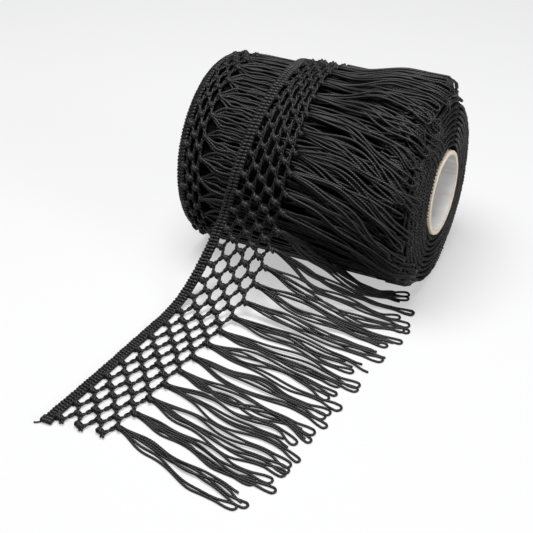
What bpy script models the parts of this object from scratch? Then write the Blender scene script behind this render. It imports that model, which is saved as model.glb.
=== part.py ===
"""Roll of knotted tassel fringe trim on a cardboard core, with its loose end laid out in front.

Frame: metres, +Z up. X runs along the roll's axis, with the core's open end that shows at +X.
The loose end lies towards -Y. The origin is on the floor, in the middle of the roll's flat spot.

The trim is a ribbed heading, a net of square knots and a fringe of looped strands, side by side.
A place on the trim is given by "along", the distance from its cut end, and by x across it.
A place on the roll is given by its turn, in degrees above the level line through the front.
"""

import math
from collections import namedtuple

import bmesh
import bpy
from mathutils import Vector

GAP = 0.0003

# Cardboard core
CORE_BORE_RADIUS = 0.0190
CORE_WALL = 0.0022
CORE_LENGTH = 0.1260
CORE_SIDES = 40

# Wound body: the earlier turns, with the last turn raised on them
ROLL_RADIUS = 0.0485
AXIS_HEIGHT = 0.0474
ROLL_LEFT = -0.0605
ROLL_RIGHT = 0.0605
RIM_LEFT_RADIUS = 0.0460
RIM_LEFT_CURL = 0.0015
RIM_RIGHT_RADIUS = 0.0478
RIM_RIGHT_X = 0.0580
RIM_OVERHANG = 0.0008
RIM_FALL = 0.0003
FACE_RINGS = 7
FACE_RIB = 0.0007
TURN_THICKNESS = 0.0028
COLUMNS = 60
COLUMN_STEP = 360.0 / COLUMNS
FIRST_COLUMN = -93.0
PRESSED_HALF_ANGLE = 16.0
LAST_TURN_FADE = (236.0, 256.0)
LOCK_GROOVE = 0.0009
GROOVE_EASE = 0.7

# Relief of the earlier turn, which shows at the left of the wound body
EARLIER_EDGE_INSET = 0.0012
EARLIER_EDGE_FALL = 0.0006
EARLIER_NET_ROWS = 3
EARLIER_NET_START = 0.0020
EARLIER_NET_STEP = 0.0040
EARLIER_NET_FALL = 0.0022
EARLIER_KNOT_RISE = 0.0016
EARLIER_FRINGE_START = 0.0115

# Relief of the last turn: shares of its thickness, then clear widths before and after its net
HEADING_EDGE_SHARE = 0.85
NET_CORD_SHARE = 0.25
NET_KNOT_SHARE = 0.85
NET_START = 0.0012
NET_END = 0.0024
TURN_END = 0.0018
FRINGE_SHARES = (0.25, 0.6, 1.0)
PLAIN_FRONT_ALONG = 0.170

# Trim, from its heading to its fringe
TASSEL_PITCH = 0.0106
HEADING_WIDTH = 0.0056
HEADING_THICKNESS = 0.0026
RIBS_PER_PITCH = 6
RIB_DEPTH = 0.0005
RIB_INSET = 0.6
HEADING_SLANT = 0.0006
SKEW_STEP = 0.002
NET_ROWS = 5
RIDGED_ROWS = (2, 3, 4)
KNOT_REACH = 0.0019
KNOT_WAIST = 0.00075
KNOT_HEIGHT = 0.0030
CORD_HEIGHT = 0.0016
JOINT_REACH = 0.0011
JOINT_WAIST = 0.0005
JOINT_CLEARANCE = 0.0006
FRINGE_LENGTH = 0.0700

# Loose end: flat on the floor, then one bend up to the front of the roll
CUT_Y = -0.1826
LEAVE_Y = -(ROLL_RADIUS + GAP)
BEND_RADIUS = AXIS_HEIGHT
FLOOR_END_Y = LEAVE_Y - BEND_RADIUS
FLOOR_LENGTH = FLOOR_END_Y - CUT_Y
ROLL_START = FLOOR_LENGTH + BEND_RADIUS * math.pi / 2
TURN_MIDDLE_RADIUS = 0.0505
HEADING_END = ROLL_START - 0.0034
LOOSE_TASSELS = 14

# How the trim lies: x of the heading's outer edge and of the row of tassel knots
Lie = namedtuple("Lie", "along heading_x knots_x")
TRIM_LIE = (
    Lie(-0.020, -0.0575, -0.0240),
    Lie(0.000, -0.0553, -0.0225),
    Lie(0.035, -0.0512, -0.0183),
    Lie(0.070, -0.0478, -0.0148),
    Lie(0.100, -0.0446, -0.0115),
    Lie(0.125, -0.0412, -0.0068),
    Lie(0.140, -0.0380, -0.0048),
    Lie(0.153, -0.0346, -0.0026),
    Lie(0.170, -0.0306, 0.0000),
    Lie(0.195, -0.0262, 0.0012),
    Lie(0.240, -0.0222, -0.0005),
    Lie(0.300, -0.0280, -0.0030),
    Lie(0.362, -0.0360, -0.0100),
    Lie(0.420, -0.0370, -0.0110),
    Lie(0.480, -0.0360, -0.0100),
)

# The loose end is drawn out a little on the floor, so its tassels aren't evenly spaced
Spot = namedtuple("Spot", "number along")
TASSEL_SPOTS = (
    Spot(-2, -0.0125),
    Spot(0, 0.0097),
    Spot(4, 0.0545),
    Spot(8, 0.1000),
    Spot(12, 0.1400),
    Spot(16, 0.1812),
)

# Tassels: loops of strand side by side, of one square section, fewer in the steep last tassels
LOOPS = 3
STEEP_LOOPS = 2
STRAND_SPACING = 0.00155
STRAND_RADIUS = 0.0008
LOOP_HALF_WIDTH = 0.0009
LEG_SHARES = (0.48, 0.80)
LOOP_SHARE = 0.95
ROOT_OVERLAP = 0.0012
FIRST_TIP_Y = -0.1900
TIP_STEP = 0.0124
FULL_TASSELS = 11
SLOPE_FALL = 1.5
LANDING = 0.85
FLATTENING = 2.0
STRAND_WAVE = 0.0011
STRAND_WAVES = 1.1
STRAND_WAVE_SHIFT = 0.11
LENGTH_VARIATION = 0.05
TASSEL_BEAT = 2.4
LOOP_BEAT = 2.1

# Section of a tassel's head: the knot, its neck and the bundle, which fans out by its own width
HeadSection = namedtuple("HeadSection", "run width height")
HEAD = (
    HeadSection(-0.0003, 0.0026, 0.0022),
    HeadSection(0.0008, 0.0038, 0.0032),
    HeadSection(0.0024, 0.0038, 0.0032),
    HeadSection(0.0038, 0.0030, 0.0022),
    HeadSection(0.0140, None, 0.0015),
)
HEAD_MARGIN = 0.0003
HEAD_SHOULDER = 0.28

# Fringe of the last turn, as locks that lie on the roll
TURN_TASSELS = 19
TASSEL_ANGLE = 12.0
FIRST_TURN_TASSEL = -3.0
LOCKS = 3
LOCK_RADIUS = 0.0009
LOCK_SPACING = 0.0019
LOCK_SPREAD = 1.7
LOCK_REACH = 0.0530
LOCK_DROOP = 30.0
LOCK_LIFT = 0.0006
LOCK_SHARES = (0.0, 0.33, 0.66, 1.0)
LOCK_DROOP_POWER = 1.3
LOCK_WAVES = 0.9
LOCK_WAVE_SHIFT = 0.13
LOCK_VARIATION = 0.07
LOCK_TASSEL_BEAT = 2.3
LOCK_BEAT = 1.7
EDGE_CORD_RADIUS = 0.0015
EDGE_CORD_WAIST = 0.62
EDGE_CORD_END = 0.6

YARN_COLOUR = (0.013, 0.013, 0.014, 1.0)
CARDBOARD_COLOUR = (0.60, 0.50, 0.38, 1.0)


def clear_scene():
    for item in list(bpy.data.objects):
        bpy.data.objects.remove(item, do_unlink=True)


def make_collection(name):
    collection = bpy.data.collections.new(name)
    bpy.context.scene.collection.children.link(collection)
    return collection


def make_material(name, colour, roughness):
    material = bpy.data.materials.new(name)
    material.use_nodes = True
    shader = material.node_tree.nodes["Principled BSDF"]
    shader.inputs["Base Color"].default_value = colour
    shader.inputs["Roughness"].default_value = roughness
    shader.inputs["Metallic"].default_value = 0.0
    return material


def make_object(name, mesh, collection, material):
    item = bpy.data.objects.new(name, mesh)
    item.data.materials.clear()
    item.data.materials.append(material)
    collection.objects.link(item)
    return item


def evaluated_mesh(item):
    depsgraph = bpy.context.evaluated_depsgraph_get()
    return bpy.data.meshes.new_from_object(item.evaluated_get(depsgraph))


def read_table(rows, key, column):
    """One column of a table at a value of its first column, on a smooth curve through the rows."""
    last = len(rows) - 2
    index = 0
    while index < last and rows[index + 1][0] < key:
        index += 1
    before, after = rows[index], rows[index + 1]
    previous, following = rows[max(index - 1, 0)], rows[min(index + 2, last + 1)]
    span = after[0] - before[0]
    t = min(max((key - before[0]) / span, 0.0), 1.0)
    start, end = getattr(before, column), getattr(after, column)
    start_slope = (end - getattr(previous, column)) / (after[0] - previous[0]) * span
    end_slope = (getattr(following, column) - start) / (following[0] - before[0]) * span
    return (
        start * (2 * t**3 - 3 * t**2 + 1)
        + start_slope * (t**3 - 2 * t**2 + t)
        + end * (3 * t**2 - 2 * t**3)
        + end_slope * (t**3 - t**2)
    )


def lie_of_trim(along, column):
    return read_table(TRIM_LIE, along, column)


def tassel_along(number):
    """Distance of a loose tassel from the cut end: halves lie between two tassels."""
    return read_table(TASSEL_SPOTS, number, "along")


def bend_angle(along):
    return min(max((along - FLOOR_LENGTH) / BEND_RADIUS, 0.0), math.pi / 2)


def on_loose_end(along, x, height=0.0):
    """Point of the loose end: height is measured from its underside."""
    angle = bend_angle(along)
    flat = min(along, FLOOR_LENGTH)
    y = CUT_Y + flat + BEND_RADIUS * math.sin(angle)
    z = BEND_RADIUS * (1.0 - math.cos(angle))
    return Vector((x, y, z)) + loose_normal(along) * height


def loose_normal(along):
    angle = bend_angle(along)
    return Vector((0.0, -math.sin(angle), math.cos(angle)))


def loose_forward(along):
    angle = bend_angle(along)
    return Vector((0.0, math.cos(angle), math.sin(angle)))


def on_roll(turn, x, radius):
    """Point of the roll, pressed flat where it would reach below the floor."""
    angle = math.radians(turn)
    z = AXIS_HEIGHT + radius * math.sin(angle)
    return Vector((x, -radius * math.cos(angle), max(z, 0.0)))


def along_at_turn(turn):
    return ROLL_START + TURN_MIDDLE_RADIUS * math.radians(turn)


def loft(bm, sections):
    """Closed skin through rings of points, with flat ends."""
    rings = [[bm.verts.new(point) for point in ring] for ring in sections]
    count = len(rings[0])
    for here, there in zip(rings, rings[1:]):
        for side in range(count):
            ahead = (side + 1) % count
            bm.faces.new((here[side], here[ahead], there[ahead], there[side]))
    bm.faces.new(list(reversed(rings[0])))
    bm.faces.new(rings[-1])


def finish_mesh(bm, name):
    bmesh.ops.recalc_face_normals(bm, faces=bm.faces)
    mesh = bpy.data.meshes.new(name)
    bm.to_mesh(mesh)
    bm.free()
    return mesh


def tube_mesh(name, routes, radius, tilt=0.0, point_radii=None, twist="Z_UP"):
    """Mesh of four-sided tubes, one along each route."""
    curve = bpy.data.curves.new(name, "CURVE")
    curve.dimensions = "3D"
    curve.twist_mode = twist
    curve.bevel_depth = radius
    curve.bevel_resolution = 0
    curve.use_fill_caps = True
    for route in routes:
        spline = curve.splines.new("POLY")
        spline.points.add(len(route) - 1)
        for index, (point, place) in enumerate(zip(spline.points, route)):
            point.co = (place.x, place.y, place.z, 1.0)
            point.tilt = tilt
            point.radius = point_radii[index] if point_radii else 1.0
    guide = bpy.data.objects.new(name, curve)
    bpy.context.scene.collection.objects.link(guide)
    mesh = evaluated_mesh(guide)
    bpy.data.objects.remove(guide, do_unlink=True)
    bm = bmesh.new()
    bm.from_mesh(mesh)
    bmesh.ops.remove_doubles(bm, verts=bm.verts, dist=0.00001)
    bmesh.ops.recalc_face_normals(bm, faces=bm.faces)
    bm.to_mesh(mesh)
    bm.free()
    return mesh


def unite(item, tool_mesh, tools):
    """Fuses a mesh of tubes into an object, as one closed body."""
    tool = bpy.data.objects.new(item.name + "_roots", tool_mesh)
    tools.objects.link(tool)
    boolean = item.modifiers.new("roots", "BOOLEAN")
    boolean.operation = "UNION"
    boolean.solver = "EXACT"
    boolean.object = tool
    mesh = evaluated_mesh(item)
    item.modifiers.remove(boolean)
    material = item.data.materials[0]
    item.data = mesh
    item.data.materials.clear()
    item.data.materials.append(material)
    bpy.data.objects.remove(tool, do_unlink=True)


def make_core(collection, material):
    """Cardboard tube: the wall's outline turned about the axis."""
    outer = CORE_BORE_RADIUS + CORE_WALL
    half = CORE_LENGTH / 2
    outline = [(outer, half), (outer, -half), (CORE_BORE_RADIUS, -half), (CORE_BORE_RADIUS, half)]
    bm = bmesh.new()
    corners = [bm.verts.new((radius, 0.0, height)) for radius, height in outline]
    for index, corner in enumerate(corners):
        bm.edges.new((corner, corners[(index + 1) % len(corners)]))
    mesh = bpy.data.meshes.new("core")
    bm.to_mesh(mesh)
    bm.free()
    core = make_object("core", mesh, collection, material)
    screw = core.modifiers.new("turned", "SCREW")
    screw.axis = "Z"
    screw.angle = math.tau
    screw.steps = CORE_SIDES
    screw.render_steps = CORE_SIDES
    screw.use_merge_vertices = True
    screw.merge_threshold = 0.00001
    core.rotation_euler = (0.0, math.pi / 2, 0.0)
    core.location = (0.0, 0.0, AXIS_HEIGHT)


def last_turn_share(turn):
    """How much of the last turn's thickness stands on the roll at this angle."""
    start, full = FIRST_TURN_TASSEL, FIRST_TURN_TASSEL + COLUMN_STEP
    fading, gone = LAST_TURN_FADE
    if turn <= start or turn >= gone:
        return 0.0
    if turn < full:
        return (turn - start) / (full - start)
    if turn <= fading:
        return 1.0
    return (gone - turn) / (gone - fading)


def roll_section(column):
    """Outline of the wound body in the half plane at one turn: (x, radius) from the bore's left end."""
    turn = FIRST_COLUMN + column * COLUMN_STEP
    odd = column % 2
    pressed = abs(turn + 90.0) < PRESSED_HALF_ANGLE
    lock_groove = 0.0 if pressed else LOCK_GROOVE * (1 - odd)
    share = last_turn_share(turn)
    bore = CORE_BORE_RADIUS + CORE_WALL + GAP
    outline = []
    for ring in range(FACE_RINGS):
        part = ring / (FACE_RINGS - 1)
        radius = bore + (RIM_LEFT_RADIUS - bore) * part
        outline.append((ROLL_LEFT + FACE_RIB * (ring % 2) + RIM_LEFT_CURL * part**4, radius))

    # Earlier turn: heading, net and fringe, up to the edge of the last turn
    net = ROLL_RADIUS - EARLIER_NET_FALL
    edge = ROLL_LEFT + HEADING_WIDTH
    outline.append((ROLL_LEFT + EARLIER_EDGE_INSET, ROLL_RADIUS - EARLIER_EDGE_FALL))
    outline.append((edge, ROLL_RADIUS))
    for row in range(EARLIER_NET_ROWS):
        knot = 0.0 if pressed else EARLIER_KNOT_RISE * ((row + odd) % 2)
        outline.append((edge + EARLIER_NET_START + EARLIER_NET_STEP * row, net + knot))
    along = along_at_turn(turn)
    if along <= ROLL_START:
        along = PLAIN_FRONT_ALONG
    heading = lie_of_trim(along, "heading_x")
    knots = lie_of_trim(along, "knots_x")
    outline.append((edge + EARLIER_FRINGE_START, ROLL_RADIUS - lock_groove))
    outline.append((heading - EARLIER_EDGE_FALL, ROLL_RADIUS - lock_groove * GROOVE_EASE))

    # Last turn: heading, then net rows with a knot at every second column
    raised = TURN_THICKNESS * share
    base = ROLL_RADIUS - lock_groove * (1.0 - share)
    outline.append((heading, base + raised * HEADING_EDGE_SHARE))
    outline.append((heading + HEADING_WIDTH / 2, base + raised))
    outline.append((heading + HEADING_WIDTH, base + raised * HEADING_EDGE_SHARE))
    net_start = heading + HEADING_WIDTH + NET_START
    for row in range(NET_ROWS + 1):
        x = net_start + (knots - NET_END - net_start) * row / NET_ROWS
        relief = NET_CORD_SHARE if (row + odd) % 2 else NET_KNOT_SHARE
        outline.append((x, base + raised * relief))
    outline.append((knots - TURN_END, base))

    # Fringe of the last turn lies on the locks of the earlier ones
    for part in FRINGE_SHARES:
        x = knots + (RIM_RIGHT_X - knots) * part
        fall = RIM_FALL if part == 1.0 else 0.0
        outline.append((x, ROLL_RADIUS - lock_groove - fall))

    # Right face: edges of the turns, in rings that stand out towards the core
    for ring in reversed(range(FACE_RINGS)):
        part = ring / (FACE_RINGS - 1)
        radius = bore + (RIM_RIGHT_RADIUS - bore) * part
        x = ROLL_RIGHT + (RIM_RIGHT_X + RIM_OVERHANG - ROLL_RIGHT) * part**2
        outline.append((x - FACE_RIB * (ring % 2), radius))
    return turn, outline


def make_roll(collection, material):
    bm = bmesh.new()
    rings = []
    for column in range(COLUMNS):
        turn, outline = roll_section(column)
        rings.append([bm.verts.new(on_roll(turn, x, radius)) for x, radius in outline])
    count = len(rings[0])
    for column, here in enumerate(rings):
        there = rings[(column + 1) % COLUMNS]
        for step in range(count):
            ahead = (step + 1) % count
            bm.faces.new((here[step], here[ahead], there[ahead], there[step]))
    make_object("roll", finish_mesh(bm, "roll"), collection, material)


def heading_skew(along):
    behind, ahead = along - SKEW_STEP, along + SKEW_STEP
    rise = lie_of_trim(ahead, "heading_x") - lie_of_trim(behind, "heading_x")
    return math.atan2(rise, 2 * SKEW_STEP)


def heading_point(along, across, height):
    """Point of the heading, whose ribs run square to its own edge."""
    skew = heading_skew(along)
    x = lie_of_trim(along, "heading_x") + across * math.cos(skew)
    return on_loose_end(along - across * math.sin(skew), x, height)


def heading_inner_x(along):
    return lie_of_trim(along, "heading_x") + HEADING_WIDTH / math.cos(heading_skew(along))


def make_loose_heading(collection, material):
    """Ribbed band: a rib stands up at every second section."""
    rib = TASSEL_PITCH / RIBS_PER_PITCH
    stations = int(HEADING_END / (rib / 2))
    sections = []
    for station in range(stations + 1):
        along = HEADING_END * station / stations
        groove = RIB_DEPTH if station % 2 else 0.0
        top = HEADING_THICKNESS - groove
        inset = groove * RIB_INSET
        ring = (
            (inset, 0.0),
            (HEADING_WIDTH - inset, 0.0),
            (HEADING_WIDTH - inset - HEADING_SLANT, top),
            (inset + HEADING_SLANT, top),
        )
        sections.append([heading_point(along, across, height) for across, height in ring])
    bm = bmesh.new()
    loft(bm, sections)
    make_object("heading_loose", finish_mesh(bm, "heading_loose"), collection, material)


def knot_place(row, column):
    """Along and x of a knot: odd rows lie half a pitch nearer the cut end."""
    half_step = 0.5 if row % 2 else 0.0
    along = tassel_along(column - half_step)
    first = heading_inner_x(along) + GAP + KNOT_REACH
    last = lie_of_trim(along, "knots_x") - GAP - JOINT_REACH - JOINT_CLEARANCE
    return along, first + (last - first) * (row - 1) / NET_ROWS


def make_loose_net(collection, material):
    """Net of cords between knots, cut through in every mesh of it."""
    long_along = (True, False, False, True, True, False, False, True)
    signs = ((1, 1), (1, 1), (-1, 1), (-1, 1), (-1, -1), (-1, -1), (1, -1), (1, -1))
    bm = bmesh.new()
    weights = {}
    rings = {}
    for row in range(1, NET_ROWS + 2):
        count = LOOSE_TASSELS + 1 if row % 2 else LOOSE_TASSELS
        joint = row == NET_ROWS + 1
        reach, waist = (JOINT_REACH, JOINT_WAIST) if joint else (KNOT_REACH, KNOT_WAIST)
        for column in range(count):
            along, x = knot_place(row, column)
            ring = []
            for long_way, (sign_along, sign_x) in zip(long_along, signs):
                step_along = sign_along * (reach if long_way else waist)
                step_x = sign_x * (waist if long_way else reach)
                vertex = bm.verts.new(on_loose_end(along + step_along, x + step_x))
                weights[vertex] = CORD_HEIGHT / KNOT_HEIGHT
                ring.append(vertex)
            rings[row, column] = ring
            if row in RIDGED_ROWS:
                centre = bm.verts.new(on_loose_end(along, x))
                weights[centre] = 1.0
                for side, corner in enumerate(ring):
                    bm.faces.new((centre, ring[(side + 1) % len(ring)], corner))
            else:
                bm.faces.new(list(reversed(ring)))
    for (row, column), ring in rings.items():
        ahead = rings.get((row + 1, column if row % 2 else column + 1))
        behind = rings.get((row + 1, column - 1 if row % 2 else column))
        if ahead:
            bm.faces.new((ring[0], ring[1], ahead[4], ahead[5]))
        if behind:
            bm.faces.new((ring[2], ring[3], behind[6], behind[7]))
    bm.verts.index_update()
    listed = {vertex.index: weight for vertex, weight in weights.items()}
    mesh = bpy.data.meshes.new("net_loose")
    bm.to_mesh(mesh)
    bm.free()
    net = make_object("net_loose", mesh, collection, material)
    group = net.vertex_groups.new(name="height")
    for index, weight in listed.items():
        group.add([index], weight, "REPLACE")
    solid = net.modifiers.new("height", "SOLIDIFY")
    solid.thickness = KNOT_HEIGHT
    solid.offset = 1.0
    solid.vertex_group = "height"
    solid.thickness_vertex_group = 0.0
    solid.use_even_offset = False
    solid.use_rim = True


class Bundle:
    """Middle line of a loose tassel, from its knot to its tip on the floor."""

    def __init__(self, number):
        self.number = number
        along = tassel_along(number)
        self.root = on_loose_end(along, lie_of_trim(along, "knots_x"))
        self.side = loose_forward(along)
        self.loops = LOOPS if number < FULL_TASSELS else STEEP_LOOPS
        self.width = (2 * self.loops - 1) * STRAND_SPACING + 2 * STRAND_RADIUS + HEAD_MARGIN
        self.run = math.sqrt(FRINGE_LENGTH**2 - self.root.z**2)
        angle = math.asin((FIRST_TIP_Y + TIP_STEP * number - self.root.y) / self.run)
        self.heading = Vector((math.cos(angle), math.sin(angle), 0.0))

    def at(self, run, sideways, height):
        """Point of the bundle: run is measured level, sideways across it."""
        t = run / self.run
        clamped = min(max(t, 0.0), 1.0)
        left = max(1.0 - clamped / LANDING, 0.0)
        place = self.root + self.heading * run
        place.z = self.root.z * left**SLOPE_FALL
        slope = -SLOPE_FALL * self.root.z * left ** (SLOPE_FALL - 1.0) / (LANDING * self.run)
        ahead = (self.heading + Vector((0.0, 0.0, slope))).normalized()
        flat_side = Vector((-self.heading.y, self.heading.x, 0.0))
        side = self.side.lerp(flat_side, min(clamped * FLATTENING, 1.0))
        side = (side - ahead * side.dot(ahead)).normalized()
        up = ahead.cross(side)
        waves = STRAND_WAVES * t + STRAND_WAVE_SHIFT * self.number
        wave = STRAND_WAVE * math.sin(math.tau * waves) * clamped
        point = place + side * (sideways + wave) + up * height
        point.z = max(point.z, height)
        return point

    def reach(self, loop):
        """Level length of one loop, a little different from its neighbours."""
        longer = math.sin(TASSEL_BEAT * self.number + LOOP_BEAT * loop)
        return self.run * (1.0 + LENGTH_VARIATION * longer)


def tassel_head_mesh(bundle, name):
    bm = bmesh.new()
    sections = []
    for section in HEAD:
        half = (section.width or bundle.width) / 2
        shoulder = half * (1.0 - HEAD_SHOULDER)
        middle = section.height / 2
        ring = (
            (-shoulder, 0.0),
            (shoulder, 0.0),
            (half, middle),
            (shoulder, section.height),
            (-shoulder, section.height),
            (-half, middle),
        )
        sections.append([bundle.at(section.run, across, height) for across, height in ring])
    loft(bm, sections)
    return finish_mesh(bm, name)


def loop_route(bundle, loop):
    """Out along one leg, round the loop's end and back along the other."""
    middle = (loop - (bundle.loops - 1) / 2) * 2 * STRAND_SPACING
    half = STRAND_SPACING / 2
    height = STRAND_RADIUS * math.cos(math.pi / 4)
    reach = bundle.reach(loop)
    root = HEAD[-1].run - ROOT_OVERLAP
    leg = [(root, half)] + [(share * reach, half) for share in LEG_SHARES]
    leg.append((LOOP_SHARE * reach, LOOP_HALF_WIDTH))
    places = [bundle.at(run, middle - across, height) for run, across in leg]
    places.append(bundle.at(reach, middle, height))
    places += [bundle.at(run, middle + across, height) for run, across in reversed(leg)]
    return places


def make_loose_tassels(collection, tools, material):
    for number in range(LOOSE_TASSELS):
        name = f"tassel_{number + 1:02d}"
        bundle = Bundle(number)
        tassel = make_object(name, tassel_head_mesh(bundle, name), collection, material)
        routes = [loop_route(bundle, loop) for loop in range(bundle.loops)]
        unite(tassel, tube_mesh(name, routes, STRAND_RADIUS, tilt=math.pi / 4), tools)


def lock_route(tassel, lock):
    """Lock of the last turn's fringe: it lies along the roll and droops down its side."""
    turn = FIRST_TURN_TASSEL + TASSEL_ANGLE * tassel
    knots = lie_of_trim(along_at_turn(turn), "knots_x")
    radius = ROLL_RADIUS + GAP + LOCK_RADIUS
    offset = lock - (LOCKS - 1) / 2
    longer = math.sin(LOCK_TASSEL_BEAT * tassel + LOCK_BEAT * lock)
    reach = LOCK_REACH * (1.0 + LOCK_VARIATION * longer)
    route = []
    for t in LOCK_SHARES:
        spread = LOCK_SPACING * offset * (1.0 + (LOCK_SPREAD - 1.0) * t)
        wave = STRAND_WAVE * math.sin(math.tau * (LOCK_WAVES * t + LOCK_WAVE_SHIFT * tassel)) * t
        droop = -LOCK_DROOP * math.cos(math.radians(turn)) * t**LOCK_DROOP_POWER
        here = turn + droop + math.degrees((spread + wave) / radius)
        route.append(on_roll(here, knots + reach * t, radius + LOCK_LIFT * math.sin(math.pi * t)))
    return route


def make_turn_fringe(collection, tools, material):
    """Row of knots along the last turn, as one edge cord, with the locks that hang from it."""
    columns = 2 * (TURN_TASSELS - 1)
    radius = ROLL_RADIUS + GAP + EDGE_CORD_RADIUS
    cord = []
    widths = []
    for column in range(-1, columns + 2):
        turn = FIRST_TURN_TASSEL + TASSEL_ANGLE / 2 * column
        if column in (-1, columns + 1):
            inward = EDGE_CORD_END if column == -1 else -EDGE_CORD_END
            turn += inward * TASSEL_ANGLE / 2
        knots = lie_of_trim(along_at_turn(turn), "knots_x")
        cord.append(on_roll(turn, knots, radius))
        widths.append(1.0 if column % 2 == 0 else EDGE_CORD_WAIST)
    mesh = tube_mesh("fringe_turn", [cord], EDGE_CORD_RADIUS, math.pi / 4, widths, "MINIMUM")
    fringe = make_object("fringe_turn", mesh, collection, material)
    routes = [lock_route(tassel, lock) for tassel in range(TURN_TASSELS) for lock in range(LOCKS)]
    unite(fringe, tube_mesh("locks", routes, LOCK_RADIUS, twist="MINIMUM"), tools)


def main():
    clear_scene()
    trim = make_collection("tassel_fringe_roll")
    tools = make_collection("tools")
    yarn = make_material("black_yarn", YARN_COLOUR, 0.75)
    cardboard = make_material("cardboard", CARDBOARD_COLOUR, 0.85)
    make_core(trim, cardboard)
    make_roll(trim, yarn)
    make_turn_fringe(trim, tools, yarn)
    make_loose_heading(trim, yarn)
    make_loose_net(trim, yarn)
    make_loose_tassels(trim, tools, yarn)


main()
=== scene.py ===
"""Looks of the roll of knotted tassel fringe trim on its cardboard core.

Frame: metres, +Z up. X runs along the roll's axis, and the loose end lies towards -Y.
A place on the trim is given by "along", the distance from its cut end, and by x across it.
A place on the roll is given by its turn, in degrees above the level line through the front.
Every cord is a route of points that a node tree skins, and every knot is tied from such cords.
A span is a start and a length over which something eases in. Names ending in _mm are in millimetres.
"""

import math
import random
from collections import namedtuple

import bmesh
import bpy
from mathutils import Matrix, Vector, noise


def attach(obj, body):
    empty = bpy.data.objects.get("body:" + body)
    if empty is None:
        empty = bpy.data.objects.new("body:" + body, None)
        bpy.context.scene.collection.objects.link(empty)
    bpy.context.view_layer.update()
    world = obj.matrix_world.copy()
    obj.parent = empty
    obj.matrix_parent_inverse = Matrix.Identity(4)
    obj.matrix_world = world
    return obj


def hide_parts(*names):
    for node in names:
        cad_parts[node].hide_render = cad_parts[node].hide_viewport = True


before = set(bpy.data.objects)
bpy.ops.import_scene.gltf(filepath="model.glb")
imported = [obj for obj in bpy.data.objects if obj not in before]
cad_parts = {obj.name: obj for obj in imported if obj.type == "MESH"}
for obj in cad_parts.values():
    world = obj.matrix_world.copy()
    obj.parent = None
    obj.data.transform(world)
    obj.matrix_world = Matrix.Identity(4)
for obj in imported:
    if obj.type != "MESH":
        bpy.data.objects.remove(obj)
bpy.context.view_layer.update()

MM = 0.001
GAP = 0.3 * MM
SEED = 7
TREES = {}

# Cardboard core
CORE_BORE_RADIUS = 19.0 * MM
CORE_RADIUS = 21.2 * MM
CORE_HALF = 63.0 * MM
CORE_STEPS = 120
CORE_END_ROWS = (
    (CORE_RADIUS, -0.4 * MM, 0),
    (CORE_RADIUS - 0.25 * MM, 0.0, 1),
    (CORE_BORE_RADIUS + 1.1 * MM, 0.1 * MM, 1),
    (CORE_BORE_RADIUS + 0.2 * MM, 0.0, 1),
    (CORE_BORE_RADIUS, -0.5 * MM, 0),
)
CORE_BORE_ROWS_MM = (50, 30, 0, -30, -50)
CORE_PAPER_SIDES = range(5, 11)
TEAR_SCALE = 5
FRAY_SCALE = 17
RAGGED_SCALE = 30
TEAR = 0.18 * MM
FRAY = 0.05 * MM

# Wound body
ROLL_RADIUS = 48.5 * MM
AXIS_HEIGHT = 47.4 * MM
ROLL_LEFT = -60.5 * MM
ROLL_RIGHT = 60.5 * MM
RIM_LEFT_RADIUS = 46.0 * MM
RIM_RIGHT_RADIUS = 47.8 * MM
RIM_RIGHT_X = 58.0 * MM
BODY_STEPS = 120
BODY_FACE_STEPS = 5
BODY_LEFT = (45.0 * MM, 1.7 * MM)
BODY_RIGHT = (45.6 * MM, 1.9 * MM)
BODY_OUTLINE_MM = ((-58.0, 45.4), (-40.0, 45.2), (-10.0, 45.4), (20.0, 46.2), (45.0, 46.6), (55.0, 46.4))
BODY_LUMPS = 0.5 * MM
BODY_LUMP_SCALES = (60, 3)
BODY_CLEAR = 0.4 * MM
FADE = (236.0, 20.0)
PRESSED = 3.9 * MM

# Trim
PITCH = 10.6 * MM
LADDER_WIDTH = 5.4 * MM
RUNGS_PER_PITCH = 6
NET_CORD = 0.52 * MM
STRAND = 0.58 * MM
LOOSE_STRAND = 0.62 * MM
TWIST_LENGTH = 2.7 * MM
WELD_DISTANCE = 0.001 * MM
END_REACH = 0.6
END_SHOULDER = 0.3
END_SHOULDER_RADIUS = 0.75

# Loose end: flat on the floor, then one bend up to the front of the roll
CUT_Y = -182.6 * MM
BEND_RADIUS = AXIS_HEIGHT
FLOOR_LENGTH = -(ROLL_RADIUS + GAP) - BEND_RADIUS - CUT_Y
ROLL_START = FLOOR_LENGTH + BEND_RADIUS * math.pi / 2
TURN_MIDDLE_RADIUS = 50.5 * MM
LAST_TURN_END = 250.0
LOOSE_TASSELS = 14
TURN_TASSELS = 19

# One rung of the heading: share of the width, height and radius in mm
RUNG = (
    (0.04, 0.95, 0.68),
    (0.18, 1.35, 0.86),
    (0.34, 1.50, 0.80),
    (0.50, 1.15, 0.60),
    (0.66, 1.50, 0.80),
    (0.82, 1.35, 0.86),
    (0.96, 0.95, 0.66),
)

# One knot in mm: place and radius of the lump's cord, and places of the bar over it
KNOT_HEIGHT = 1.4
KNOT_LUMP = (
    (-1.9, 0.2, 0.6),
    (-1.2, 0.15, 1.35),
    (-0.45, 0.1, 1.05),
    (0.3, -0.1, 1.5),
    (1.1, -0.15, 1.2),
    (1.8, -0.2, 0.6),
)
KNOT_BAR = ((-1.3, 1.3, 1.3), (-0.6, 1.0, 2.4), (0.4, -0.5, 2.8), (0.9, -1.5, 1.6))
KNOT_BAR_RADIUS = 0.55 * MM

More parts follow.
